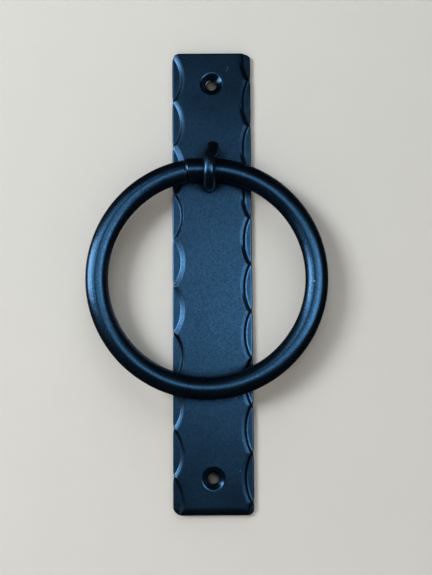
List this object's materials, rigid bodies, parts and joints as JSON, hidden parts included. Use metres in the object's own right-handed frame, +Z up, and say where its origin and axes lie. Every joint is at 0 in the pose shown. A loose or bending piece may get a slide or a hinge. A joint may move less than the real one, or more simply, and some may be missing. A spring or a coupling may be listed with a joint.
{
  "type": "door knocker",
  "caption": "Forged iron ring knocker: long flat backplate with hammered crescent edges, a U-shaped rod staple and a round-bar ring that swings out from the door.",
  "frame": {"origin": "on the backplate's back face, midway between the two screw holes", "axes": "+Z up the door along the backplate, +Y into the door along the back face's normal, +X to the right seen from in front"},
  "size_m": [0.1524, 0.0294, 0.2959],
  "materials": {
    "satin_black_paint": "satin black paint over forged iron"
  },
  "bodies": {
    "mounted_plate": {"backplate": "satin_black_paint", "staple": "satin_black_paint"},
    "ring": {"ring": "satin_black_paint"}
  },
  "joints": [
    {"name": "ring_swing", "type": "hinge", "parent": "mounted_plate", "child": "ring", "pos_m": [-0.0035, -0.01206, 0.06835], "axis": [-1, 0, 0], "range_deg": [0, 180]}
  ]
}
